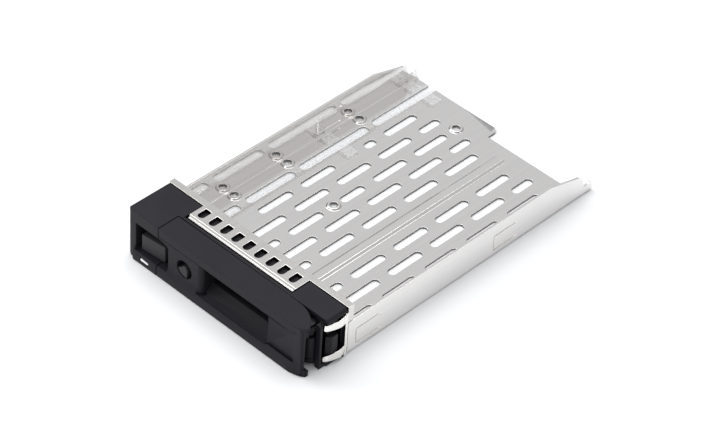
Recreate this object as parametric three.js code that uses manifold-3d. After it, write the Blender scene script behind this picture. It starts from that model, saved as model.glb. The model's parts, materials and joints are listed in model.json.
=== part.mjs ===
// Hot-swap drive tray: a bent sheet-metal pan, a plastic bezel with a hinged
// ejector lever, a push button, a key lock and a light pipe.
// Units are millimetres.  While the pieces are made, x = 0 is the inner face of
// the left side wall, y = 0 lies 1 mm behind the front face of the bezel and z = 0
// is the top of the pan floor.  The root group then moves the origin to the middle
// of the footprint.
import * as THREE from "three";
import { mergeVertices } from "three/addons/utils/BufferGeometryUtils.js";
import Module from "manifold-3d";

const wasm = await Module();
wasm.setup();

// ---------------------------------------------------------------- driving sizes
const GAP = 0.3; // between neighbouring pieces
const BAY_WIDTH = 102.2; // between the side walls: a 101.6 drive and its play
const SHEET = 1.0; // pan sheet
const BRACKET_SHEET = 0.8;
const WALL_TOP = 16.4;
const FACE_TOP = 24.4; // top of the plastic bezel
const FACE_BACK = 21.7; // back of the plastic bezel
const BRACKET_TOP = FACE_TOP + GAP;
const BRACKET_FRONT = FACE_BACK + 0.2;
const BRACKET_BACK = 25.1;
const PAN_FRONT = 22.3;
const PAN_END = 172.9;
const FLOOR_END = 172.0;
const NOTCH_FLOOR_END = 165.1; // floor edge right of the step
const NOTCH_X = 49.8;
const PIPE_END = 174.6;
const LIP_FRONT = -2.3;
const OUTER_LEFT = -SHEET;
const OUTER_RIGHT = BAY_WIDTH + SHEET;
const BOTTOM = -SHEET;
const CONTACT_REACH = 104.0; // crown of the side contact fingers
const FACE_FRONT = -1.0; // front plane of the bezel block and of the lever

// slot field of the floor
const ROW_PITCH = 9.11;
const FIRST_ROW = 18.34;
const SLOT_LENGTH = 19.5;
const SLOT_WIDTH = 4.0;
const SLOT_STEP = 25.55;
const ODD_ROW_START = 40.2;
const EVEN_ROW_START = 52.8;
const SLOTS_PER_ROW = 5;
const RIB_X = 63.5;
const RIB_END = 158;

// standard drive hole pattern
const SIDE_HOLE_INSET = 3.5;
const SIDE_HOLE_Y = [55.7, 87.5, 131.9];
const SMALL_DRIVE_X = 36.6;
const SMALL_DRIVE_WIDTH = 61.72;
const SMALL_DRIVE_Y = [82.3, 158.8];
const SCREW_HOLE_RADIUS = 1.85;
const DIMPLE_HEIGHT = 0.7;

// lever and its hinge
const LEVER_LEFT = 17.6;
const LEVER_SKIN_RIGHT = 100.4;
const LEVER_TOP_RIGHT = 101.2;
const LEVER_TONGUE_RIGHT = 101.4;
const LEVER_BACK = 10.1;
const LEVER_BOTTOM = -0.8;
const HINGE_X = 95.5;
const HINGE_Y = 8.5;
const HUB_RADIUS = 3.2;
const HUB_Z = [3.3, 14.2];
const PIN_RADIUS = 1.22;
const PIN_HOLE_RADIUS = 1.32;
const GRIP_X = [43.2, 81.0];
const GRIP_Z = [4.4, 19.8];
const PANEL_Y = FACE_FRONT + 0.4; // recessed panel right of the grip
const PANEL_RIGHT = 94.6;
const VISOR_LOW = 19.8; // underside of the thick front bar of the lever top
const TOP_SKIN = FACE_TOP - 2.0;
const HOOK_Z = [3.6, 14.0];

// left block of the bezel, button and lock
const BLOCK_RIGHT = LEVER_LEFT - GAP;
const WINDOW_X = [4.0, 23.3];
const WINDOW_Z = [4.5, 18.4];
const BUTTON_X = [6.1, 19.0];
const BUTTON_Z = [4.95, 13.1];
const BUTTON_FACE_Y = 0.3;
const BUTTON_SLANT = 1.2; // the face lies this much deeper at its right end
const BUTTON_TRAVEL = 1.8;
const BUTTON_AXIS_X = 10.2;
const BUTTON_AXIS_Z = 8.0;
const LOCK_X = 32.9;
const LOCK_Z = 12.0;
const LOCK_FACE_Y = -0.6;
const LOCK_RADIUS = 4.3;
const CAM_REACH = 5.2; // from the lock axis to the middle of the cam's round end

// light pipe
const PIPE_X = [7.4, 12.2];
const PIPE_Z = [0.3, 2.1];
const PIPE_EAR_Y = [112.2, 165.2];

// bezel screws
const SCREW_X = [24, 46, 68, 86];
const SCREW_Z = 11.5;

// grille tab on the bracket
const TAB_X = [19.8, 81.2];
const TAB_BEND = 14.2; // front end of the tab's flat top
const TAB_FRONT = 12.75;
const TAB_STEP = 0.75; // the tab's front strip lies this much lower
const TAB_LOW = BRACKET_TOP - TAB_STEP - BRACKET_SHEET;
const SEAM = LEVER_BACK + GAP; // front edge of the base behind the lever
const VENT_COUNT = 9;
const VENT_PITCH = 6.59;
const VENT_FIRST_X = 23.7;
const VENT_WIDTH = 3.4;
const VENT_Y = [15.6, 21.4];

// ---------------------------------------------------------------- materials
function paint(color, roughness, metalness) {
  return new THREE.MeshStandardMaterial({ color, roughness, metalness, flatShading: true });
}

const STEEL = paint(0xc6c5c1, 0.32, 0.9);
const BRIGHT_STEEL = paint(0xe2e0da, 0.22, 1.0);
const DARK_STEEL = paint(0x8d8f92, 0.4, 0.9);
const BLACK_PLASTIC = paint(0x232326, 0.55, 0.0);
const GREY_PLASTIC = paint(0x3a3a3d, 0.5, 0.0);
const CLEAR_PLASTIC = paint(0xe9eef0, 0.15, 0.0);
const WHITE_LENS = paint(0xf4f4f2, 0.3, 0.0);

// ---------------------------------------------------------------- solid helpers
function solid(geometry) {
  geometry.deleteAttribute("normal");
  geometry.deleteAttribute("uv");
  const merged = mergeVertices(geometry, 1e-4);
  return new wasm.Manifold(
    new wasm.Mesh({
      numProp: 3,
      vertProperties: merged.attributes.position.array,
      triVerts: new Uint32Array(merged.index.array),
    }),
  );
}

function join(...solids) {
  return solids.reduce((a, b) => a.add(b));
}

function cut(body, ...tools) {
  return tools.reduce((a, b) => a.subtract(b), body);
}

function box([x0, x1], [y0, y1], [z0, z1]) {
  const geometry = new THREE.BoxGeometry(x1 - x0, y1 - y0, z1 - z0);
  geometry.translate((x0 + x1) / 2, (y0 + y1) / 2, (z0 + z1) / 2);
  return solid(geometry);
}

function shapeOf(outline) {
  return Array.isArray(outline)
    ? new THREE.Shape(outline.map(([a, b]) => new THREE.Vector2(a, b)))
    : outline;
}

function extruded(outline, depth, curveSegments) {
  const shapes = outline[0] instanceof THREE.Shape ? outline : shapeOf(outline);
  return new THREE.ExtrudeGeometry(shapes, { depth, bevelEnabled: false, curveSegments });
}

// An outline in x and y, extruded from z0 up to z1.
function inPlan(outline, [z0, z1], curveSegments = 6) {
  const geometry = extruded(outline, z1 - z0, curveSegments);
  geometry.translate(0, 0, z0);
  return solid(geometry);
}

// An outline in y and z, extruded from x0 to x1.
function inSide(outline, [x0, x1], curveSegments = 6) {
  const geometry = extruded(outline, x1 - x0, curveSegments);
  const turn = new THREE.Matrix4().set(0, 0, 1, x0, 1, 0, 0, 0, 0, 1, 0, 0, 0, 0, 0, 1);
  geometry.applyMatrix4(turn);
  return solid(geometry);
}

// An outline in x and z, extruded from y0 to y1.
function inFront(outline, [y0, y1], curveSegments = 6) {
  const geometry = extruded(outline, y1 - y0, curveSegments);
  const turn = new THREE.Matrix4().set(1, 0, 0, 0, 0, 0, -1, y1, 0, 1, 0, 0, 0, 0, 0, 1);
  geometry.applyMatrix4(turn);
  return solid(geometry);
}

// A round bar or a cone along z, y or x.
function barZ(x, y, [z0, z1], radius, topRadius = radius, sides = 24) {
  const geometry = new THREE.CylinderGeometry(topRadius, radius, z1 - z0, sides);
  geometry.rotateX(Math.PI / 2);
  geometry.translate(x, y, (z0 + z1) / 2);
  return solid(geometry);
}

function barY(x, z, [y0, y1], radius, backRadius = radius, sides = 24) {
  const geometry = new THREE.CylinderGeometry(backRadius, radius, y1 - y0, sides);
  geometry.translate(x, (y0 + y1) / 2, z);
  return solid(geometry);
}

function barX(y, z, [x0, x1], radius, sides = 12) {
  const geometry = new THREE.CylinderGeometry(radius, radius, x1 - x0, sides);
  geometry.rotateZ(Math.PI / 2);
  geometry.translate((x0 + x1) / 2, y, z);
  return solid(geometry);
}

// A slot with round ends along y.
function slotShape(x, y, length, width) {
  const r = width / 2;
  const straight = length / 2 - r;
  const shape = new THREE.Shape();
  shape.moveTo(x + r, y - straight);
  shape.lineTo(x + r, y + straight);
  shape.absarc(x, y + straight, r, 0, Math.PI, false);
  shape.lineTo(x - r, y - straight);
  shape.absarc(x, y - straight, r, Math.PI, 2 * Math.PI, false);
  return shape;
}

// A wound wire spring: turns of a helix swept by a six-sided section.
class Helix extends THREE.Curve {
  constructor(radius, length, turns) {
    super();
    Object.assign(this, { radius, length, turns });
  }

  getPoint(t, target = new THREE.Vector3()) {
    const angle = 2 * Math.PI * this.turns * t;
    const x = this.radius * Math.cos(angle);
    const y = this.radius * Math.sin(angle);
    return target.set(x, y, this.length * t);
  }
}

function coil(radius, length, turns, wire) {
  const section = [];
  for (let i = 0; i < 6; i += 1) {
    const angle = (i * Math.PI) / 3;
    section.push([(wire / 2) * Math.cos(angle), (wire / 2) * Math.sin(angle)]);
  }
  const path = new Helix(radius, length, turns);
  const steps = Math.round(turns * 14);
  return new THREE.ExtrudeGeometry(shapeOf(section), { extrudePath: path, steps });
}

// ---------------------------------------------------------------- tray pan
function panSection() {
  const bend = 1.4;
  const inner = bend - SHEET;
  const shape = new THREE.Shape();
  shape.moveTo(OUTER_LEFT, WALL_TOP);
  shape.lineTo(OUTER_LEFT, BOTTOM + bend);
  shape.absarc(OUTER_LEFT + bend, BOTTOM + bend, bend, Math.PI, 1.5 * Math.PI, false);
  shape.lineTo(OUTER_RIGHT - bend, BOTTOM);
  shape.absarc(OUTER_RIGHT - bend, BOTTOM + bend, bend, 1.5 * Math.PI, 2 * Math.PI, false);
  shape.lineTo(OUTER_RIGHT, WALL_TOP);
  shape.lineTo(BAY_WIDTH, WALL_TOP);
  shape.lineTo(BAY_WIDTH, inner);
  shape.absarc(BAY_WIDTH - inner, inner, inner, 0, -0.5 * Math.PI, true);
  shape.lineTo(inner, 0);
  shape.absarc(inner, inner, inner, 1.5 * Math.PI, Math.PI, true);
  shape.lineTo(0, WALL_TOP);
  return shape;
}

// Side view of a wall: sloped top at the back, a notch and an upright prong.
function wallOutline() {
  const prong = new THREE.Shape();
  prong.moveTo(PAN_FRONT, BOTTOM);
  prong.lineTo(PAN_END - 0.4, BOTTOM);
  prong.lineTo(PAN_END, BOTTOM + 0.6);
  prong.lineTo(PAN_END - 0.3, 3.6);
  prong.absarc(PAN_END - 1.2, 4.2, 0.9, 0, Math.PI, false);
  prong.lineTo(169.6, 3.9);
  prong.lineTo(167.2, 3.9);
  prong.lineTo(165.0, 9.2);
  prong.absarc(163.6, 9.6, 1.4, 0, 0.6 * Math.PI, false);
  prong.lineTo(144, WALL_TOP);
  prong.lineTo(PAN_FRONT, WALL_TOP);
  return prong;
}

function floorSlots() {
  const row = (k) => FIRST_ROW + (k - 1) * ROW_PITCH;
  const shapes = [];
  for (const k of [1, 3, 5, 7, 9]) {
    for (let i = 0; i < SLOTS_PER_ROW; i += 1) {
      const y = ODD_ROW_START + i * SLOT_STEP;
      const first = k === 1 && i === 0; // beside the bracket's foot
      const underEar = k === 1 && i === 3;
      const besideHole = k === 3 && i === 2;
      if (underEar) shapes.push(slotShape(row(k), y + 6.4, 6.5, SLOT_WIDTH));
      else if (besideHole) shapes.push(slotShape(row(k), y + 2.5, 14, SLOT_WIDTH));
      else if (!first) shapes.push(slotShape(row(k), y, SLOT_LENGTH, SLOT_WIDTH));
    }
  }
  for (const k of [2, 4, 8]) {
    for (let i = 0; i < SLOTS_PER_ROW - 1; i += 1) {
      const y = EVEN_ROW_START + i * SLOT_STEP;
      shapes.push(slotShape(row(k), y, SLOT_LENGTH, SLOT_WIDTH));
    }
    shapes.push(slotShape(row(k), 151.4, 12, SLOT_WIDTH));
  }
  // long slots under the light pipe, the last one open at the back edge
  const pipeX = (PIPE_X[0] + PIPE_X[1]) / 2;
  for (const [y0, y1] of [[42, 52.7], [56.9, 85.3], [89.3, 130.5], [134.1, 180]]) {
    shapes.push(slotShape(pipeX, (y0 + y1) / 2, y1 - y0, 4.6));
  }
  return inPlan(shapes, [BOTTOM - 1, 1], 5);
}

// Raised dimple with a screw hole countersunk from below.
function dimple(x, y) {
  return barZ(x, y, [-0.5, DIMPLE_HEIGHT], 3.9, 2.7, 16);
}

function screwHole(x, y) {
  const sink = barZ(x, y, [BOTTOM - 0.1, -0.1], 3.1, SCREW_HOLE_RADIUS, 16);
  return join(sink, barZ(x, y, [BOTTOM, 1], SCREW_HOLE_RADIUS, SCREW_HOLE_RADIUS, 16));
}

// Spring tab lanced out of a side wall: three slits and two relief holes.
function lance([x0, x1], tipY, rootY) {
  const slit = 0.5;
  const zTop = 10.1;
  const zLow = 2.3;
  const cutters = [
    box([x0, x1], [tipY, rootY], [zTop - slit / 2, zTop + slit / 2]),
    box([x0, x1], [tipY, rootY], [zLow - slit / 2, zLow + slit / 2]),
    box([x0, x1], [tipY, tipY + slit], [zLow, zTop]),
    barX(rootY, zTop, [x0, x1], 0.55),
    barX(rootY, zLow, [x0, x1], 0.55),
  ];
  return join(...cutters);
}

function trayPan() {
  const body = inFront(panSection(), [PAN_FRONT, PAN_END], 5);
  const sides = inSide(wallOutline(), [OUTER_LEFT - 1, OUTER_RIGHT + 1], 5);
  let pan = body.intersect(sides);

  const rib = [[-2.9, -0.5], [2.9, -0.5], [2.9, 0], [1.7, 0.7], [-1.7, 0.7], [-2.9, 0]];
  const ribOutline = rib.map(([x, z]) => [RIB_X + x, z]);
  const groove = [[-2.2, -1.1], [2.2, -1.1], [1.1, -0.3], [-1.1, -0.3]];
  const grooveOutline = groove.map(([x, z]) => [RIB_X + x, z]);
  pan = join(pan, inFront(ribOutline, [PAN_FRONT + 1, RIB_END]));

  const holes = [];
  for (const x of [SIDE_HOLE_INSET, BAY_WIDTH - SIDE_HOLE_INSET]) {
    for (const y of SIDE_HOLE_Y) holes.push([x, y]);
  }
  for (const x of [SMALL_DRIVE_X, SMALL_DRIVE_X + SMALL_DRIVE_WIDTH]) {
    for (const y of SMALL_DRIVE_Y) holes.push([x, y]);
  }
  for (const [x, y] of holes) pan = join(pan, dimple(x, y));
  for (const [x, y] of holes) pan = cut(pan, screwHole(x, y));

  pan = cut(pan, inFront(grooveOutline, [PAN_FRONT - 1, RIB_END - 2]), floorSlots());

  // back edge of the floor: full length on the left, stepped forward on the right
  const step = new THREE.Shape();
  step.moveTo(NOTCH_X, NOTCH_FLOOR_END);
  step.lineTo(BAY_WIDTH - 0.9, NOTCH_FLOOR_END);
  step.lineTo(BAY_WIDTH - 0.9, 180);
  step.lineTo(0.9, 180);
  step.lineTo(0.9, FLOOR_END);
  step.lineTo(NOTCH_X - 3, FLOOR_END);
  step.absarc(NOTCH_X - 3, FLOOR_END - 3, 3, 0.5 * Math.PI, 0, true);
  pan = cut(pan, inPlan(step, [BOTTOM - 1, 1]));

  for (const wall of [[OUTER_LEFT - 1, 0.5], [BAY_WIDTH - 0.5, OUTER_RIGHT + 1]]) {
    pan = cut(pan, lance(wall, 26.8, 40.6), lance(wall, 109, 123));
  }
  // small reliefs in the lower bend beside the screw holes
  for (const x of [OUTER_LEFT, OUTER_RIGHT]) {
    for (const y of [...SIDE_HOLE_Y.map((hole) => hole + 3), 162.3]) {
      pan = cut(pan, barX(y, BOTTOM, [x - 0.7, x + 0.7], 0.8, 8));
    }
  }
  return pan;
}

// ---------------------------------------------------------------- front bracket
function ventShape(x) {
  const r = VENT_WIDTH / 2;
  const shape = new THREE.Shape();
  shape.moveTo(x + r, VENT_Y[1]);
  shape.lineTo(x - r, VENT_Y[1]);
  shape.lineTo(x - r, VENT_Y[0] + r);
  shape.absarc(x, VENT_Y[0] + r, r, Math.PI, 2 * Math.PI, false);
  return shape;
}

// The grille tab: flat on top, stepped down to a narrow strip at its front.
function grilleTab() {
  const lipTop = BRACKET_TOP - TAB_STEP;
  const under = BRACKET_TOP - BRACKET_SHEET;
  const back = BRACKET_FRONT + 0.1;
  const section = [
    [TAB_FRONT, TAB_LOW],
    [TAB_BEND - 0.35, TAB_LOW],
    [TAB_BEND + 0.35, under],
    [back, under],
    [back, BRACKET_TOP],
    [TAB_BEND, BRACKET_TOP],
    [TAB_BEND - 0.7, lipTop],
    [TAB_FRONT, lipTop],
  ];
  const [left, right] = TAB_X;
  const corner = 0.6;
  const plan = [
    [left + corner, TAB_FRONT - 1],
    [right - corner, TAB_FRONT - 1],
    [right - corner, TAB_BEND - 0.7],
    [right, TAB_BEND],
    [right, back],
    [left, back],
    [left, TAB_BEND],
    [left + corner, TAB_BEND - 0.7],
  ];
  return inSide(section, TAB_X).intersect(inPlan(plan, [TAB_LOW - 1, BRACKET_TOP + 1]));
}

function frontBracket() {
  const low = BRACKET_TOP - BRACKET_SHEET;
  const plateY = [BRACKET_BACK - BRACKET_SHEET, BRACKET_BACK];
  const flange = box([OUTER_LEFT, OUTER_RIGHT], [BRACKET_FRONT, BRACKET_BACK], [low, BRACKET_TOP]);
  const plate = box([GAP, BAY_WIDTH - GAP], plateY, [GAP, low + 0.1]);
  const shoulder = box([OUTER_LEFT, OUTER_RIGHT], plateY, [WALL_TOP + GAP, low + 0.1]);
  const earY = [BRACKET_FRONT, BRACKET_BACK];
  const earZ = [WALL_TOP + GAP, low + 0.1];
  const leftEar = box([OUTER_LEFT, OUTER_LEFT + BRACKET_SHEET], earY, earZ);
  const rightEar = box([OUTER_RIGHT - BRACKET_SHEET, OUTER_RIGHT], earY, earZ);
  const tab = grilleTab();
  const vents = [];
  for (let i = 0; i < VENT_COUNT; i += 1) vents.push(ventShape(VENT_FIRST_X + i * VENT_PITCH));
  const pipeWay = box([PIPE_X[0] - GAP, PIPE_X[1] + GAP], [20, 30], [-1, PIPE_Z[1] + GAP]);
  const ribWay = box([RIB_X - 3.2, RIB_X + 3.2], [20, 30], [-1, 1.0]);
  const screwWays = SCREW_X.map((x) => barY(x, SCREW_Z, [20, 30], 1.5));
  const sheet = join(flange, plate, shoulder, leftEar, rightEar, tab);
  return cut(sheet, inPlan(vents, [low - 1, BRACKET_TOP + 1], 7), pipeWay, ribWay, ...screwWays);
}

// ---------------------------------------------------------------- side contact
function sideContact() {
  const thick = 0.35;
  const face = OUTER_RIGHT + GAP; // outer face of the upright strip
  const strip = box([face - thick, face], [20.3, 21.7], [-0.6, 22.4]);
  // outer face of a finger, from its root on the strip to its curled-in tip
  const bow = new THREE.CatmullRomCurve3([
    new THREE.Vector3(face, 20.5, 0),
    new THREE.Vector3(CONTACT_REACH - 0.15, 18.6, 0),
    new THREE.Vector3(CONTACT_REACH, 17.2, 0),
    new THREE.Vector3(CONTACT_REACH - 0.3, 14.8, 0),
    new THREE.Vector3(CONTACT_REACH - 1.0, 12.2, 0),
    new THREE.Vector3(CONTACT_REACH - 2.2, 9.8, 0),
  ]);
  const outer = bow.getPoints(12).map((point) => [Math.min(point.x, CONTACT_REACH), point.y]);
  const inner = outer.map(([x, y]) => [x - thick, y]).reverse();
  const finger = [...inner, ...outer];
  // each finger is seen from the side as a tapering blade with a round tip
  const blade = (middle) => {
    const shape = new THREE.Shape();
    shape.moveTo(22, middle + 2.2);
    shape.lineTo(20, middle + 2.2);
    shape.lineTo(11, middle + 1.5);
    shape.absarc(11, middle, 1.5, 0.5 * Math.PI, 1.5 * Math.PI, false);
    shape.lineTo(20, middle - 2.2);
    shape.lineTo(22, middle - 2.2);
    return inSide(shape, [BAY_WIDTH - 5, CONTACT_REACH + 1]);
  };
  const [upper, lower] = [19.7, 3.2].map((middle) =>
    inPlan(finger, [middle - 3, middle + 3]).intersect(blade(middle)),
  );
  return join(strip, upper, lower);
}

// ---------------------------------------------------------------- bezel base
// Side view of the lip that runs along the bottom of the face.
function lipOutline(bottom) {
  return [
    [0.6, 8.0],
    [FACE_FRONT, 7.4],
    [FACE_FRONT - 0.3, 6.0],
    [FACE_FRONT - 0.9, 4.5],
    [LIP_FRONT, 2.5],
    [LIP_FRONT + 0.2, bottom],
    [0.6, bottom],
  ];
}

// A sloping cut along y that takes the corner off an edge: it runs from xIn on the
// face z to the same distance down (or up, with turn = 1) the side at xOut.
function bevelledEdge(xIn, xOut, z, turn, run) {
  const reach = Math.abs(xOut - xIn);
  const past = Math.sign(xOut - xIn);
  const outline = [
    [xIn - past, z - turn],
    [xOut + past, z - turn],
    [xOut + past, z + turn * (reach + 1)],
  ];
  const flip = past * turn > 0;
  return inFront(flip ? outline : outline.reverse(), run);
}

function bezelBase() {
  const bevel = 1.1;
  const right = OUTER_RIGHT - 0.1;
  const left = OUTER_LEFT + 0.1;
  const back = FACE_BACK;
  const pieces = [
    box([left, right], [19.9, back], [BOTTOM, TOP_SKIN]),
    box([left, BLOCK_RIGHT], [FACE_FRONT, 20.5], [BOTTOM, FACE_TOP]),
    box([left, TAB_X[0] - GAP], [SEAM, back], [TOP_SKIN - 0.1, FACE_TOP]),
    box([TAB_X[1] + GAP, right], [SEAM, back], [TOP_SKIN - 0.1, FACE_TOP]),
    box([17, right], [SEAM, TAB_FRONT - 0.85], [TOP_SKIN - 2, FACE_TOP - 0.15]),
    box([17, right], [SEAM, back], [20.0, TAB_LOW - GAP]),
    box([17, right - 0.6], [11.3, back], [BOTTOM, 1.0]),
    inSide(lipOutline(BOTTOM), [3, BLOCK_RIGHT]),
  ];
  // right cheek and the two ears that hold the hinge pin
  const ear = new THREE.Shape();
  ear.moveTo(HINGE_X - HUB_RADIUS, 20.5);
  ear.lineTo(HINGE_X - HUB_RADIUS, HINGE_Y);
  ear.absarc(HINGE_X, HINGE_Y, HUB_RADIUS, Math.PI, 2 * Math.PI, false);
  ear.lineTo(HINGE_X + 5.9, HINGE_Y);
  ear.lineTo(HINGE_X + 5.9, 20.5);
  pieces.push(
    box([99.2, 101.9], [7.7, 20.5], [BOTTOM, 22.0]),
    inPlan(ear, [0.9, 3.0]),
    inPlan(ear, [17.5, 19.5]),
    // stop that the locked cam reaches behind
    box([LOCK_X - 6, LOCK_X + 6], [11.3, 12.7], [15.6, 20.5]),
  );
  let base = join(...pieces);
  const bosses = SCREW_X.map((x) => barY(x, SCREW_Z, [19, 24.0], 3.0, 3.0, 16));
  base = join(base, ...bosses);

  const cutters = [
    // room for the button, open towards the lever in front
    box([WINDOW_X[0], 30], [-5, 5.5], WINDOW_Z),
    box([WINDOW_X[0], 15.3], [5.4, 18.6], WINDOW_Z),
    // hook arm of the lever swings through the cheek
    box([99, 104], [9.2, 19.9], [HOOK_Z[0] - 0.6, HOOK_Z[1] + 0.6]),
    box([90, 104], [19, 20.5], [HOOK_Z[0] - 0.6, HOOK_Z[1] + 0.6]),
    barZ(HINGE_X, HINGE_Y, [0, 21], PIN_HOLE_RADIUS),
    barZ(HINGE_X, HINGE_Y, [19.6, TOP_SKIN - 0.2], 2.5),
    // light pipe channel and lens seat
    box([PIPE_X[0] - GAP, PIPE_X[1] + GAP], [2, 30], [PIPE_Z[0] - GAP, PIPE_Z[1] + GAP]),
    box([7.7, 12.8], [-5, 2.8], [1.0, 2.8]),
    // open side around the contact fingers
    box([101.9, 104], [7, 20.6], [1.0, TOP_SKIN - 0.2]),
    box([101.1, 104], [9, 20.6], [1.0, TOP_SKIN - 0.2]),
    bevelledEdge(right - bevel, right, FACE_TOP, -1, [-5, 30]),
    bevelledEdge(left + 2 * bevel, left, BOTTOM, 1, [-5, 6]),
    bevelledEdge(left + 0.7, left, FACE_TOP, -1, [-5, 30]),
    ...SCREW_X.map((x) => barY(x, SCREW_Z, [20.6, 25], 1.25, 1.25, 16)),
  ];
  // rounded front left upright edge
  const corner = new THREE.Shape();
  const r = 2.2;
  corner.moveTo(left - 1, FACE_FRONT - 1);
  corner.lineTo(left + r, FACE_FRONT - 1);
  corner.lineTo(left + r, FACE_FRONT);
  corner.absarc(left + r, FACE_FRONT + r, r, 1.5 * Math.PI, Math.PI, true);
  corner.lineTo(left - 1, FACE_FRONT + r);
  cutters.push(inPlan(corner, [BOTTOM - 1, FACE_TOP + 1]));
  return cut(base, ...cutters);
}

// ---------------------------------------------------------------- lever
function leverTopOutline() {
  const front = FACE_FRONT - 0.1;
  const shape = new THREE.Shape();
  shape.moveTo(LEVER_LEFT, front);
  shape.lineTo(LEVER_TOP_RIGHT - 6.5, front);
  shape.quadraticCurveTo(LEVER_TOP_RIGHT - 2.2, front, LEVER_TOP_RIGHT, 2.0);
  shape.bezierCurveTo(LEVER_TOP_RIGHT - 2.2, 5.2, HINGE_X, LEVER_BACK, 86.5, LEVER_BACK);
  shape.lineTo(LEVER_LEFT, LEVER_BACK);
  return shape;
}

function leverSkinOutline() {
  return [
    [FACE_FRONT - 0.1, FACE_TOP - 0.1],
    [FACE_FRONT, VISOR_LOW],
    [FACE_FRONT, 1.0],
    [2.2, 1.0],
    [2.2, FACE_TOP - 0.1],
  ];
}

// Plan of the lip and the front skin: the right end curves back to a round tongue.
function tonguePlan(right, front, back) {
  const shape = new THREE.Shape();
  shape.moveTo(LEVER_LEFT, front);
  shape.lineTo(right - 10.5, front);
  shape.bezierCurveTo(right - 5.5, front, right - 0.2, front + 1.6, right, front + 3.6);
  shape.lineTo(right, back);
  shape.lineTo(LEVER_LEFT, back);
  return shape;
}

function leverShell() {
  const top = inPlan(leverTopOutline(), [TOP_SKIN, FACE_TOP], 8);
  const visor = inPlan(leverTopOutline(), [VISOR_LOW, TOP_SKIN + 0.1], 8).intersect(
    box([LEVER_LEFT, 110], [-2, 2.2], [VISOR_LOW - 1, 24]),
  );
  const skin = inSide(leverSkinOutline(), [LEVER_LEFT, LEVER_SKIN_RIGHT]).intersect(
    inPlan(skinPlan(), [0, FACE_TOP]),
  );
  const lip = inSide(lipOutline(LEVER_BOTTOM), [LEVER_LEFT, 110]).intersect(
    inPlan(tonguePlan(LEVER_TONGUE_RIGHT, LIP_FRONT, 2.2), [-2, 10], 8),
  );
  const lipLow = cut(lip, box([LEVER_SKIN_RIGHT - 0.6, 110], [-5, 5], [2.6, 10]));
  // the tongue stays short, so that it passes the cheek as the lever turns
  const foot = inPlan(tonguePlan(LEVER_TONGUE_RIGHT, LIP_FRONT, 2.3), [LEVER_BOTTOM, 2.2], 8).intersect(
    box([LEVER_SKIN_RIGHT - 6, 110], [-5, 5], [-2, 3]),
  );
  // recessed panel right of the grip, with a gutter behind the bead of the lip
  const beadInner = FACE_FRONT - 0.55;
  const panel = [
    [GRIP_X[1] - 0.6, beadInner],
    [PANEL_RIGHT + 1.6, beadInner],
    [PANEL_RIGHT + 1.6, FACE_FRONT],
    [PANEL_RIGHT, PANEL_Y],
    [GRIP_X[1] - 0.6, PANEL_Y],
  ];
  // the skin is thin beside the hinge
  const thinned = box([97.2, 110], [0.6, 2.3], [1.2, VISOR_LOW]);
  const front = cut(join(skin, lipLow), inPlan(panel, [3.7, VISOR_LOW - 0.4]), thinned);
  return join(top, visor, front, foot);
}

// The skin's right corner is rounded.
function skinPlan() {
  const r = 1.6;
  const shape = new THREE.Shape();
  shape.moveTo(LEVER_LEFT - 1, FACE_FRONT - 1);
  shape.lineTo(LEVER_SKIN_RIGHT - r, FACE_FRONT - 1);
  shape.lineTo(LEVER_SKIN_RIGHT - r, FACE_FRONT - 0.1);
  shape.absarc(LEVER_SKIN_RIGHT - r, FACE_FRONT - 0.1 + r, r, 1.5 * Math.PI, 2 * Math.PI, false);
  shape.lineTo(LEVER_SKIN_RIGHT, 3);
  shape.lineTo(LEVER_LEFT - 1, 3);
  return shape;
}

// Hollow behind the grip opening: its floor rises from the lip, and its back is open.
function leverScoop() {
  const outer = [
    [0, 2.6],
    [2.0, 3.0],
    [5.0, 4.9],
    [LEVER_BACK, 6.5],
    [LEVER_BACK, TOP_SKIN + 0.1],
    [0, TOP_SKIN + 0.1],
  ];
  const hollow = [
    [-3, GRIP_Z[0]],
    [FACE_FRONT - 0.6, GRIP_Z[0]],
    [1.0, 4.9],
    [4.0, 6.6],
    [5.6, 8.0],
    [LEVER_BACK + 1, 8.0],
    [LEVER_BACK + 1, 20.6],
    [2.2, 20.6],
    [2.2, GRIP_Z[1]],
    [-3, GRIP_Z[1]],
  ];
  // the column left of the grip is rounded where it turns into the hollow
  const r = 2.6;
  const round = new THREE.Shape();
  round.moveTo(GRIP_X[0] - r, FACE_FRONT - 1);
  round.lineTo(GRIP_X[0] + 1, FACE_FRONT - 1);
  round.lineTo(GRIP_X[0] + 1, FACE_FRONT + r);
  round.lineTo(GRIP_X[0], FACE_FRONT + r);
  round.absarc(GRIP_X[0] - r, FACE_FRONT + r, r, 0, -0.5 * Math.PI, true);
  return {
    shell: inSide(outer, [GRIP_X[0] - 1.8, GRIP_X[1] + 1.8]),
    hollow: join(inSide(hollow, GRIP_X), inPlan(round, GRIP_Z, 8)),
  };
}

// The window's right end, with round corners.
function windowOutline() {
  const [r, rLow] = [2.2, 0.9];
  const [low, high] = WINDOW_Z;
  const right = WINDOW_X[1];
  const shape = new THREE.Shape();
  shape.moveTo(0, low);
  shape.lineTo(right - rLow, low);
  shape.absarc(right - rLow, low + rLow, rLow, 1.5 * Math.PI, 2 * Math.PI, false);
  shape.lineTo(right, high - r);
  shape.absarc(right - r, high - r, r, 0, 0.5 * Math.PI, false);
  shape.lineTo(0, high);
  return shape;
}

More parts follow.
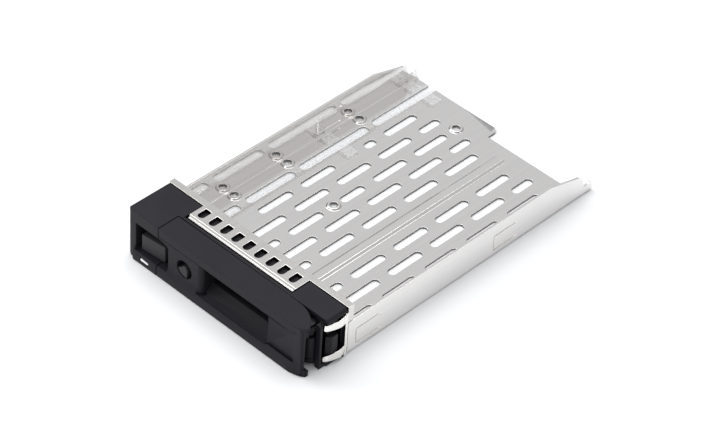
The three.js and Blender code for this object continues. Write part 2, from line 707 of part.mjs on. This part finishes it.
function lever() {
  const scoop = leverScoop();
  let body = join(leverShell(), scoop.shell);
  // end wall by the button, with the pocket that the button face reaches into
  body = join(
    body,
    box([LEVER_LEFT, LEVER_LEFT + 1.8], [2, LEVER_BACK], [1.0, TOP_SKIN + 0.1]),
    box([LEVER_LEFT, WINDOW_X[1] + 1.2], [2, 6.8], [WINDOW_Z[0] - 1.2, WINDOW_Z[1] + 1.2]),
    box([18.4, 19.6], [9, 15], [13.7, 16.3]),
    box([LEVER_LEFT, 19.6], [13.6, 15], [13.7, 16.3]),
  );
  // the end wall is open behind the button, so the lever swings past its face
  const clearX = [0, BUTTON_X[1] + GAP];
  const clearZ = [BUTTON_Z[0] - GAP, BUTTON_Z[1] + GAP];
  const buttonWay = box(clearX, [-5, LEVER_BACK + 1], clearZ);
  body = cut(body, inFront(windowOutline(), [-5, 5.5]), buttonWay, scoop.hollow);

  // hub on the hinge pin, its web and the hook behind the pivot
  const hook = [
    [HINGE_X - 1, HINGE_Y + 1],
    [HINGE_X + 0.7, HINGE_Y + 3.1],
    [100.4, 16.8],
    [103.0, 16.8],
    [103.0, 13.3],
    [98.4, 9.0],
  ];
  body = join(
    body,
    barZ(HINGE_X, HINGE_Y, HUB_Z, HUB_RADIUS),
    box([92.6, HINGE_X + 0.3], [2, HINGE_Y], HUB_Z),
    inPlan(hook, HOOK_Z),
  );
  body = cut(body, barZ(HINGE_X, HINGE_Y, [2, 15], PIN_HOLE_RADIUS));
  // collar round the plug, behind the front skin
  const collar = barY(LOCK_X, LOCK_Z, [2.0, 5.4], LOCK_RADIUS + 1.3, LOCK_RADIUS + 1.3, 32);
  const lockHole = LOCK_RADIUS + 0.12;
  return cut(join(body, collar), barY(LOCK_X, LOCK_Z, [-2, 6], lockHole, lockHole, 32));
}

// ---------------------------------------------------------------- hinge hardware
function leverPin() {
  const pin = barZ(HINGE_X, HINGE_Y, [-0.4, 20.6], PIN_RADIUS);
  const head = barZ(HINGE_X, HINGE_Y, [19.8, 20.8], 2.2);
  const groove = cut(
    barZ(HINGE_X, HINGE_Y, [-0.05, 0.7], 2),
    barZ(HINGE_X, HINGE_Y, [-0.2, 0.8], PIN_RADIUS - 0.35),
  );
  return cut(join(pin, head), groove);
}

// Snap ring in the pin's groove, open at the front.
function pinClip() {
  const ring = cut(
    barZ(HINGE_X, HINGE_Y, [0.05, 0.6], 2.4),
    barZ(HINGE_X, HINGE_Y, [-1, 2], PIN_RADIUS - 0.1),
  );
  const mouth = box([HINGE_X - 0.9, HINGE_X + 0.9], [HINGE_Y - 4, HINGE_Y - 0.9], [-1, 2]);
  return cut(ring, mouth);
}

function leverSpring() {
  const geometry = coil(2.35, 2.0, 2.6, 0.6);
  geometry.translate(HINGE_X, HINGE_Y, 14.9);
  return solid(geometry);
}

// ---------------------------------------------------------------- push button
function releaseButton() {
  const faceOutline = [
    [BUTTON_X[0], BUTTON_FACE_Y],
    [BUTTON_X[1], BUTTON_FACE_Y + BUTTON_SLANT],
    [BUTTON_X[1], 3.3],
    [BUTTON_X[0], 3.3],
  ];
  const face = inPlan(faceOutline, BUTTON_Z);
  const stem = box([6.4, 14.0], [3.2, 11.0], [BUTTON_Z[0], 11.7]);
  const runners = box([WINDOW_X[0] + GAP, 15.0], [6, 10.4], [6.8, 9.2]);
  const bore = barY(BUTTON_AXIS_X, BUTTON_AXIS_Z, [5.0, 12], 2.6);
  return cut(join(face, stem, runners), bore);
}

function buttonSpring() {
  const front = 5.0 + BUTTON_TRAVEL + GAP + 0.3;
  const geometry = coil(2.0, 18.0 - front, 6, 0.6);
  geometry.rotateX(-Math.PI / 2);
  geometry.translate(BUTTON_AXIS_X, front, BUTTON_AXIS_Z);
  return solid(geometry);
}

// ---------------------------------------------------------------- key lock
function lockPlug() {
  const stepY = LOCK_FACE_Y + 5.0;
  const disc = barY(LOCK_X, LOCK_Z, [stepY, stepY + 1.0], LOCK_RADIUS, LOCK_RADIUS, 32);
  // raised key bar that grows out of the lower left, in a deep recess
  const full = barY(LOCK_X, LOCK_Z, [LOCK_FACE_Y, stepY + 0.1], LOCK_RADIUS, LOCK_RADIUS, 32);
  const barOutline = [
    [-5, -5],
    [1.3, -5],
    [1.3, -0.5],
    [0.4, 1.0],
    [-1.0, 1.2],
    [-2.2, -0.4],
    [-5, -1.6],
  ];
  const barPlan = barOutline.map(([x, z]) => [LOCK_X + x, LOCK_Z + z]);
  const raised = full.intersect(inFront(barPlan, [LOCK_FACE_Y - 1, stepY + 1]));
  // stem, squared at its end to carry the cam
  const half = 1.4;
  const round = barY(LOCK_X, LOCK_Z, [stepY + 0.8, 13.1], 2.0, 2.0, 20);
  const squared = box([LOCK_X - half, LOCK_X + half], [13, 15.5], [LOCK_Z - half, LOCK_Z + half]);
  const threadHole = barY(LOCK_X, LOCK_Z, [11.5, 16], 0.7, 0.7, 12);
  return cut(join(disc, round, squared, raised), threadHole);
}

// Spring ring that keeps the plug in the lever's front wall.
function lockRing() {
  const ring = cut(
    barY(LOCK_X, LOCK_Z, [5.7, 6.5], 5.6, 5.6, 28),
    barY(LOCK_X, LOCK_Z, [5, 8], 2.08, 2.08, 20),
  );
  return cut(ring, box([LOCK_X - 1.2, LOCK_X + 1.2], [5, 8], [LOCK_Z - 8, LOCK_Z - 1]));
}

function lockCam() {
  const blade = new THREE.Shape();
  blade.moveTo(LOCK_X - 0.2, LOCK_Z - 2.6);
  blade.lineTo(LOCK_X + CAM_REACH, LOCK_Z - 1.9);
  blade.absarc(LOCK_X + CAM_REACH, LOCK_Z, 1.9, -0.5 * Math.PI, 0.5 * Math.PI, false);
  blade.lineTo(LOCK_X - 0.2, LOCK_Z + 2.6);
  blade.absarc(LOCK_X - 0.2, LOCK_Z, 2.6, 0.5 * Math.PI, 1.5 * Math.PI, false);
  const half = 1.4 + 0.08;
  const hole = box([LOCK_X - half, LOCK_X + half], [12, 16], [LOCK_Z - half, LOCK_Z + half]);
  return cut(inFront(blade, [13.4, 14.8], 8), hole);
}

function camScrew() {
  const head = barY(LOCK_X, LOCK_Z, [15.9, 16.9], 2.3, 2.1, 20);
  const shank = barY(LOCK_X, LOCK_Z, [12.0, 16], 0.6, 0.6, 12);
  const slot = box([LOCK_X - 3, LOCK_X + 3], [16.5, 18], [LOCK_Z - 0.3, LOCK_Z + 0.3]);
  return cut(join(head, shank), slot);
}

// ---------------------------------------------------------------- light pipe
function lightPipe() {
  const bar = box(PIPE_X, [2.6 + GAP, PIPE_END], PIPE_Z);
  const pieces = [bar];
  const pipeX = (PIPE_X[0] + PIPE_X[1]) / 2;
  for (const y of PIPE_EAR_Y) {
    pieces.push(box([1.5, 19.0], [y - 3.0, y + 3.0], [PIPE_Z[0], PIPE_Z[0] + 0.9]));
    for (const side of [-1, 1]) {
      pieces.push(barZ(pipeX + side * 6.3, y, [PIPE_Z[0], PIPE_Z[0] + 1.7], 1.2, 1.0, 16));
    }
  }
  return join(...pieces);
}

function statusLens() {
  const front = LIP_FRONT + 0.1;
  const outline = [
    [front + 0.2, 2.5],
    [front, 2.3],
    [front + 0.05, 1.3],
    [2.6, 1.3],
    [2.6, 2.5],
  ];
  return inSide(outline, [8.0, 12.5]);
}

// ---------------------------------------------------------------- bezel screws
function bezelScrew(x) {
  const head = barY(x, SCREW_Z, [BRACKET_BACK + GAP, BRACKET_BACK + 1.5], 2.6, 2.2, 20);
  const shank = barY(x, SCREW_Z, [21.0, BRACKET_BACK + 0.5], 1.15, 1.15, 16);
  const recessY = [BRACKET_BACK + 0.9, 30];
  const wide = box([x - 1.7, x + 1.7], recessY, [SCREW_Z - 0.35, SCREW_Z + 0.35]);
  const tall = box([x - 0.35, x + 0.35], recessY, [SCREW_Z - 1.7, SCREW_Z + 1.7]);
  return cut(join(head, shank), wide, tall);
}

// ---------------------------------------------------------------- assembly
const tray = new THREE.Group();
const centreX = (OUTER_LEFT + CONTACT_REACH) / 2;
const centreY = (LIP_FRONT + PIPE_END) / 2;
tray.position.set(-centreX, -centreY, -BOTTOM);

// A group whose origin is the pivot or rail of what it holds.
function movingGroup(parent, x, y, z) {
  const group = new THREE.Group();
  group.userData.origin = new THREE.Vector3(x, y, z);
  group.position.copy(group.userData.origin).sub(parent.userData.origin ?? new THREE.Vector3());
  parent.add(group);
  return group;
}

function add(parent, name, shape, material) {
  const made = shape.getMesh();
  const geometry = new THREE.BufferGeometry();
  const positions = new THREE.BufferAttribute(new Float32Array(made.vertProperties), 3);
  geometry.setAttribute("position", positions);
  geometry.setIndex(new THREE.BufferAttribute(new Uint32Array(made.triVerts), 1));
  const origin = parent.userData.origin ?? new THREE.Vector3();
  geometry.translate(-origin.x, -origin.y, -origin.z);
  const mesh = new THREE.Mesh(geometry, material);
  mesh.name = name;
  parent.add(mesh);
}

add(tray, "tray_pan", trayPan(), STEEL);
add(tray, "front_bracket", frontBracket(), STEEL);
add(tray, "side_contact_spring", sideContact(), BRIGHT_STEEL);
add(tray, "bezel_base", bezelBase(), BLACK_PLASTIC);
add(tray, "light_pipe", lightPipe(), CLEAR_PLASTIC);
add(tray, "status_lens", statusLens(), WHITE_LENS);
add(tray, "lever_pin", leverPin(), DARK_STEEL);
add(tray, "pin_clip", pinClip(), DARK_STEEL);
add(tray, "lever_spring", leverSpring(), DARK_STEEL);
add(tray, "button_spring", buttonSpring(), DARK_STEEL);
SCREW_X.forEach((x, i) => add(tray, `bezel_screw_${i + 1}`, bezelScrew(x), DARK_STEEL));

const leverGroup = movingGroup(tray, HINGE_X, HINGE_Y, 0);
add(leverGroup, "ejector_lever", lever(), BLACK_PLASTIC);
add(leverGroup, "lock_ring", lockRing(), DARK_STEEL);

const lockGroup = movingGroup(leverGroup, LOCK_X, 0, LOCK_Z);
add(lockGroup, "lock_plug", lockPlug(), GREY_PLASTIC);
add(lockGroup, "lock_cam", lockCam(), DARK_STEEL);
add(lockGroup, "cam_screw", camScrew(), DARK_STEEL);

const buttonGroup = movingGroup(tray, BUTTON_AXIS_X, BUTTON_FACE_Y, BUTTON_AXIS_Z);
add(buttonGroup, "release_button", releaseButton(), GREY_PLASTIC);

export default tray;
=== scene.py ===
import json
import math

import bmesh
import bpy
from mathutils import Matrix, Vector
from mathutils.bvhtree import BVHTree


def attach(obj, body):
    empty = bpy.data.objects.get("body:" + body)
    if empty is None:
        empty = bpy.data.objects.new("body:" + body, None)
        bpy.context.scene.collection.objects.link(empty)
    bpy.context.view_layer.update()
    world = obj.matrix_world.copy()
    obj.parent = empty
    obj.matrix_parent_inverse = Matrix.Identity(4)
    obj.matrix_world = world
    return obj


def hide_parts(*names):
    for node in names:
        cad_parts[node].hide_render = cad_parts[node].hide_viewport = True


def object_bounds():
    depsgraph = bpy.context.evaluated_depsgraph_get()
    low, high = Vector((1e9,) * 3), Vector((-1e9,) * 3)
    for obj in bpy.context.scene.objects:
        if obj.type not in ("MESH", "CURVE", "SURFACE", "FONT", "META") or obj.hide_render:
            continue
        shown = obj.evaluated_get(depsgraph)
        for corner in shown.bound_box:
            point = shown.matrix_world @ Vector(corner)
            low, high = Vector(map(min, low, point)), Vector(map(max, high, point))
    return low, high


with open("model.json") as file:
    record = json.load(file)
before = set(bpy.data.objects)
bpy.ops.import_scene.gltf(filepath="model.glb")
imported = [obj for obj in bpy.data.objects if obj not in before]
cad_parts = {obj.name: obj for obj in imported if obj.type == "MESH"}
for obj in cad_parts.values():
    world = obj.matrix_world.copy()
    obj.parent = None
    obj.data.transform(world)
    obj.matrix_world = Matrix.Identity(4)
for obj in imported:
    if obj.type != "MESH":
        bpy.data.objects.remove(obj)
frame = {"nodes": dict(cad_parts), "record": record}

# Lengths are in metres, angles in degrees and lamp powers in watts.
CAD_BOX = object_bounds()
MM = 0.001

# camera: a three-quarter view from above the front right corner
AZIMUTH = 41.70
ELEVATION = 41.08
ROLL = 3.873
DISTANCE = 1.2006
TARGET = Vector((-0.9, -2.2, 0.0)) * MM
LENS_MM = 142.4
SENSOR_MM = 36.0
CLIP_END = 20.0

# studio: each area lamp is (place, size, power), and all aim at the origin
WORLD_COLOUR = (0.98, 0.985, 1.0, 1.0)
WORLD_STRENGTH = 0.7
LAMPS = {
    "overhead": ((-0.3, 0.2, 1.6), (1.6, 1.6), 20.0),
    "left_softbox": ((-1.5, -0.6, 0.8), (1.0, 1.0), 14.0),
    "front_softbox": ((-0.2, -1.0, 1.35), (1.2, 0.9), 4.0),
}
FLOOR_HALF = 4.0

# pan floor: painted shade makes the slot walls and the dimples' sides darker than the sheet
PAINTED_SHADE_HEIGHT = 1.65 * MM
PAINTED_SHADE_HALF_WIDTH = 50.0 * MM
PAINTED_SHADE_COLOUR = (0.16, 0.155, 0.15, 1.0)

# rounding of the pieces' edges
WELD = 0.005 * MM
FLAT = 0.5
SHARP = 28.0
SEGMENTS = 3
REACH = 0.45  # a rounded corner's furthest way off the solid, as a share of the edge
AREA_WEIGHT = 90
EDGES = {
    "tray_pan": 0.12 * MM,
    "front_bracket": 0.18 * MM,
    "side_contact_spring": 0.06 * MM,
    "bezel_base": 0.35 * MM,
    "ejector_lever": 0.3 * MM,
    "release_button": 0.3 * MM,
    "lock_plug": 0.2 * MM,
    "lock_cam": 0.12 * MM,
    "cam_screw": 0.1 * MM,
    "lock_ring": 0.08 * MM,
    "lever_pin": 0.1 * MM,
    "pin_clip": 0.05 * MM,
    "lever_spring": 0.0,
    "button_spring": 0.0,
    "light_pipe": 0.15 * MM,
    "status_lens": 0.15 * MM,
}
SCREW_EDGE = 0.1 * MM
for number in range(1, 5):
    EDGES[f"bezel_screw_{number}"] = SCREW_EDGE

# edges shorter than this stay sharp
SHORTEST = {"tray_pan": 0.5 * MM, "front_bracket": 0.35 * MM}
SHORTEST_ELSEWHERE = 0.9 * MM

# a piece whose finish isn't the one that its slot's name stands for
SURFACE = {"front_bracket": "satin_steel"}


# ------------------------------------------------------------------ camera
def facing(direction):
    """The turn of a camera or lamp that looks along `direction`, upright."""
    return direction.to_track_quat("-Z", "Y").to_matrix().to_4x4()


def make_camera():
    azimuth = math.radians(AZIMUTH)
    elevation = math.radians(ELEVATION)
    level = math.cos(elevation)
    forward = Vector((-math.sin(azimuth) * level, math.cos(azimuth) * level, -math.sin(elevation)))
    data = bpy.data.cameras.new("camera")
    data.sensor_width = SENSOR_MM
    data.lens = LENS_MM
    data.clip_end = CLIP_END
    camera = bpy.data.objects.new("camera", data)
    bpy.context.scene.collection.objects.link(camera)
    turn = facing(forward) @ Matrix.Rotation(math.radians(ROLL), 4, "Z")
    camera.matrix_world = Matrix.Translation(TARGET - forward * DISTANCE) @ turn
    bpy.context.scene.camera = camera


# ------------------------------------------------------------------ light and floor
def area_light(name, place, size, power):
    data = bpy.data.lights.new(name, "AREA")
    data.shape = "RECTANGLE"
    data.size, data.size_y = size
    data.energy = power
    light = bpy.data.objects.new(name, data)
    bpy.context.scene.collection.objects.link(light)
    light.matrix_world = Matrix.Translation(place) @ facing(-Vector(place))


def make_floor():
    mesh = bpy.data.meshes.new("floor")
    half = FLOOR_HALF
    z = CAD_BOX[0][2]
    corners = [(-half, -half, z), (half, -half, z), (half, half, z), (-half, half, z)]
    mesh.from_pydata(corners, [], [(0, 1, 2, 3)])
    mesh.materials.append(floor_material())
    floor = bpy.data.objects.new("floor", mesh)
    bpy.context.scene.collection.objects.link(floor)


def make_studio():
    world = bpy.data.worlds.new("studio")
    world.use_nodes = True
    background = world.node_tree.nodes["Background"]
    background.inputs["Color"].default_value = WORLD_COLOUR
    background.inputs["Strength"].default_value = WORLD_STRENGTH
    bpy.context.scene.world = world
    bpy.context.scene.view_settings.view_transform = "Standard"
    for name, (place, size, power) in LAMPS.items():
        area_light(name, place, size, power)
    make_floor()


# ------------------------------------------------------------------ materials
class Nodes:
    """Small helper around one material's node tree."""

    def __init__(self, name):
        self.material = bpy.data.materials.new(name)
        self.material.use_nodes = True
        self.tree = self.material.node_tree
        self.shader = self.tree.nodes["Principled BSDF"]

    def add(self, kind, **settings):
        node = self.tree.nodes.new(kind)
        for key, value in settings.items():
            setattr(node, key, value)
        return node

    def link(self, source, target):
        self.tree.links.new(source, target)

    def drive(self, name, source):
        """Feed one of the shader's inputs."""
        self.link(source, self.shader.inputs[name])

    def set(self, name, value):
        self.shader.inputs[name].default_value = value

    def maths(self, operation, *sources):
        node = self.add("ShaderNodeMath", operation=operation)
        for index, source in enumerate(sources):
            self.link(source, node.inputs[index])
        return node.outputs["Value"]

    def split(self, name):
        """X, Y and Z of the object's own coordinate or normal."""
        texture = self.add("ShaderNodeTexCoord")
        parts = self.add("ShaderNodeSeparateXYZ")
        self.link(texture.outputs[name], parts.inputs["Vector"])
        return parts.outputs

    def noise(self, scale, detail=3.0, stretch=(1, 1, 1)):
        texture = self.add("ShaderNodeTexCoord")
        mapping = self.add("ShaderNodeMapping")
        mapping.inputs["Scale"].default_value = stretch
        self.link(texture.outputs["Object"], mapping.inputs["Vector"])
        node = self.add("ShaderNodeTexNoise")
        node.inputs["Scale"].default_value = scale
        node.inputs["Detail"].default_value = detail
        self.link(mapping.outputs["Vector"], node.inputs["Vector"])
        return node.outputs["Fac"]

    def ranged(self, value, low, high, start=0.3, end=0.7):
        """`low` where the value is `start` or less, `high` where it is `end` or more."""
        node = self.add("ShaderNodeMapRange")
        node.inputs["From Min"].default_value = start
        node.inputs["From Max"].default_value = end
        node.inputs["To Min"].default_value = low
        node.inputs["To Max"].default_value = high
        self.link(value, node.inputs["Value"])
        return node.outputs["Result"]

    def blend(self, factor, first, second):
        node = self.add("ShaderNodeMix", data_type="RGBA")
        node.inputs["A"].default_value = (*first, 1.0)
        node.inputs["B"].default_value = (*second, 1.0)
        self.link(factor, node.inputs["Factor"])
        return node.outputs["Result"]

    def bump(self, height, strength, distance):
        node = self.add("ShaderNodeBump")
        node.inputs["Strength"].default_value = strength
        node.inputs["Distance"].default_value = distance
        self.link(height, node.inputs["Height"])
        self.drive("Normal", node.outputs["Normal"])


def floor_material():
    n = Nodes("pale_floor")
    n.set("Roughness", 0.9)
    n.drive("Base Color", n.blend(n.noise(3.0), (0.77, 0.775, 0.785), (0.79, 0.795, 0.8)))
    return n.material


def painted_wall_shade(n, colour):
    """The sheet's colour with painted shade: darker on steep faces low on the pan's floor."""
    place = n.split("Object")
    normal = n.split("Normal")
    steep = n.ranged(n.maths("ABSOLUTE", normal["Z"]), 1.0, 0.0, 0.5, 0.95)
    low = n.ranged(place["Z"], 1.0, 0.0, PAINTED_SHADE_HEIGHT, PAINTED_SHADE_HEIGHT + 0.2 * MM)
    across = n.maths("ABSOLUTE", place["X"])
    inside = n.ranged(across, 1.0, 0.0, PAINTED_SHADE_HALF_WIDTH, PAINTED_SHADE_HALF_WIDTH + 0.4 * MM)
    # painted shade: steep faces low on the floor are darkened to stand in for the shade and dark
    # reflection in the slot walls and dimple sides
    shade_mask = n.maths("MULTIPLY", n.maths("MULTIPLY", steep, low), inside)
    shade = n.add("ShaderNodeMix", data_type="RGBA")
    n.link(shade_mask, shade.inputs["Factor"])
    n.link(colour, shade.inputs["A"])
    shade.inputs["B"].default_value = PAINTED_SHADE_COLOUR
    return shade.outputs["Result"]


def sheet_material(name, tone, rough, wall_shade=False):
    """Rolled steel with fine streaks along the rolling direction.

    With the flag set, it has painted shade on the pan floor's slot walls and dimple sides.
    """
    n = Nodes(name)
    n.set("Metallic", 1.0)
    streaks = n.noise(700.0, stretch=(1.0, 0.04, 1.0))
    dark = tuple(c * 0.96 for c in tone)
    colour = n.blend(n.ranged(streaks, 0.0, 1.0), dark, tone)
    if wall_shade:
        # painted shade on the slot walls and dimple sides
        colour = painted_wall_shade(n, colour)
    n.drive("Base Color", colour)
    n.drive("Roughness", n.ranged(streaks, rough * 0.9, rough * 1.1))
    n.bump(streaks, 0.03, 0.005 * MM)
    return n.material


def plastic_material(name, tone, rough):
    """Moulded black plastic with a fine spark-eroded texture."""
    n = Nodes(name)
    n.set("Specular IOR Level", 0.12)
    grain = n.noise(2600.0, 2.0)
    wear = n.noise(60.0, 4.0)
    lighter = tuple(c * 1.2 for c in tone)
    n.drive("Base Color", n.blend(n.ranged(wear, 0.0, 1.0), tone, lighter))
    n.drive("Roughness", n.ranged(wear, rough * 0.95, rough * 1.05))
    n.bump(grain, 0.4, 0.03 * MM)
    return n.material


def clear_material():
    """Clear moulded light guide: flat faces are seen through; rounded edges are drawn more opaque, a
    painted highlight for the light they catch.
    """
    n = Nodes("clear_plastic")
    n.set("Roughness", 0.08)
    n.set("IOR", 1.49)
    n.drive("Base Color", n.blend(n.noise(60.0, 2.0), (0.86, 0.87, 0.875), (0.9, 0.905, 0.91)))
    normal = n.split("Normal")
    flattest = n.maths("ABSOLUTE", normal["X"])
    for axis in "YZ":
        flattest = n.maths("MAXIMUM", flattest, n.maths("ABSOLUTE", normal[axis]))
    # painted highlight: rounded edges are more opaque, so their whitish base colour shows as bright
    # lines
    n.drive("Alpha", n.ranged(flattest, 0.7, 0.1, 0.8, 0.96))
    return n.material


def lens_material():
    n = Nodes("white_lens")
    n.set("Roughness", 0.3)
    n.drive("Base Color", n.blend(n.noise(500.0), (0.88, 0.89, 0.9), (0.95, 0.95, 0.95)))
    return n.material


def make_materials():
    return {
        "pan_steel": sheet_material("pan_steel", (0.84, 0.825, 0.81), 0.1, wall_shade=True),
        "satin_steel": sheet_material("satin_steel", (0.75, 0.735, 0.71), 0.15),
        "spring_steel": sheet_material("spring_steel", (0.93, 0.915, 0.885), 0.2),
        "hardware_steel": sheet_material("hardware_steel", (0.05, 0.05, 0.055), 0.4),
        "bezel_plastic": plastic_material("bezel_plastic", (0.0136, 0.0130, 0.0163), 0.45),
        "button_plastic": plastic_material("button_plastic", (0.036, 0.0355, 0.0385), 0.4),
        "clear_plastic": clear_material(),
        "lens_plastic": lens_material(),
    }


# ------------------------------------------------------------------ pieces
def node_slot(node):
    for part in frame["record"]["subparts"]:
        if part["node"] == node:
            return part["material_slot"]
    return None


def node_body(node):
    for body, nodes in frame["record"]["behaviour"]["bodies"].items():
        if node in nodes:
            return body
    return "root"


def mark_edges(work, shortest):
    """Mark the edges to round, and keep turned edges under `shortest` metres sharp.

    So the small facets of holes and curves keep their shape.
    """
    for face in work.faces:
        face.smooth = True
    weights = work.edges.layers.float.new("bevel_weight_edge")
    for each in work.edges:
        turned = each.is_manifold and each.calc_face_angle(0.0) > math.radians(SHARP)
        if turned and each.calc_length() >= shortest:
            each[weights] = 1.0
        elif turned:
            each.smooth = False


def lay_back(piece, solid, reach):
    """Bake the piece's rounding, and put any corner thrown off back on the solid.

    A rounded edge stays within `reach` metres of the solid that it was made from.
    """
    rounded = piece.evaluated_get(bpy.context.evaluated_depsgraph_get())
    mesh = bpy.data.meshes.new_from_object(rounded)
    for vertex in mesh.vertices:
        nearest, _, _, distance = solid.find_nearest(vertex.co)
        if distance > reach:
            vertex.co = nearest
    piece.modifiers.clear()
    piece.data = mesh


def eased_copy(node, edge, shortest):
    """A copy of the node's own solid with its longer sharp edges rounded by `edge` metres."""
    mesh = frame["nodes"][node].data.copy()
    mesh.name = node + "_finished"
    work = bmesh.new()
    work.from_mesh(mesh)
    bmesh.ops.remove_doubles(work, verts=work.verts, dist=WELD)
    bmesh.ops.dissolve_limit(work, angle_limit=math.radians(FLAT), verts=work.verts, edges=work.edges)
    mark_edges(work, shortest)
    solid = BVHTree.FromBMesh(work)
    work.to_mesh(mesh)
    work.free()
    mesh.materials.clear()
    piece = bpy.data.objects.new(node + "_finished", mesh)
    bpy.context.scene.collection.objects.link(piece)
    if edge > 0.0:
        bevel = piece.modifiers.new("eased_edges", "BEVEL")
        bevel.width = edge
        bevel.segments = SEGMENTS
        bevel.limit_method = "WEIGHT"
        bevel.use_clamp_overlap = False
        lay_back(piece, solid, REACH * edge)
    even = piece.modifiers.new("even_shading", "WEIGHTED_NORMAL")
    even.mode = "FACE_AREA"
    even.weight = AREA_WEIGHT
    even.keep_sharp = True
    return piece


def finish_node(node, edge, materials):
    piece = eased_copy(node, edge, SHORTEST.get(node, SHORTEST_ELSEWHERE))
    slot = node_slot(node)
    piece.data.materials.append(materials[SURFACE.get(node, slot)])
    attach(piece, node_body(node))
    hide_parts(node)


make_camera()
make_studio()
MATERIALS = make_materials()
for node_name, edge_width in EDGES.items():
    finish_node(node_name, edge_width, MATERIALS)
